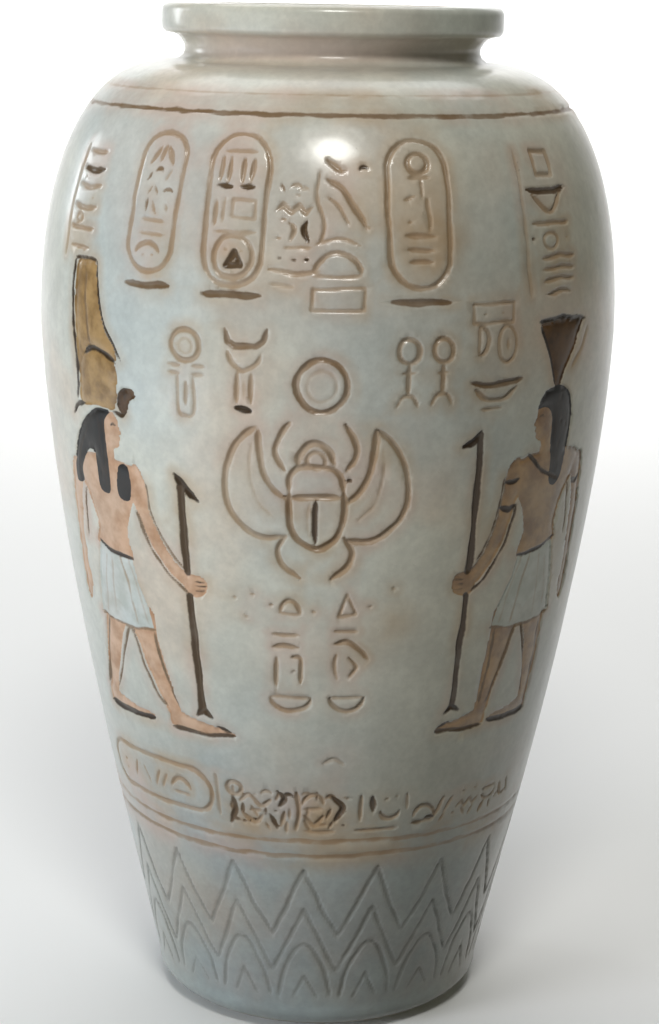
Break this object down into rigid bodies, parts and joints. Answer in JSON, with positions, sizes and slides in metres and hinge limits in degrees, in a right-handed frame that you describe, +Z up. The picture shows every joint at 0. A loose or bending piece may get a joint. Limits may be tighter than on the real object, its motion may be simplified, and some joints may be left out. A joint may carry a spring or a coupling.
{
  "type": "carved egyptian style jar",
  "caption": "Tall open-mouthed ceramic jar with a swelling belly, short neck and rounded lip, carved all round with Egyptian style signs, a winged beetle, standing figures and triangle bands.",
  "frame": {"origin": "middle of the flat underside, on the surface that the jar stands on", "axes": "+Z up along the jar's axis of turning; -Y towards the front, where the winged beetle is; +X to the front's right"},
  "size_m": [0.2552, 0.2552, 0.45],
  "materials": {
    "glazed_body": "glossy pale grey-green glaze, brown wash in the carved lines, painted figures"
  },
  "bodies": {
    "root": {"jar": "glazed_body"}
  },
  "joints": []
}
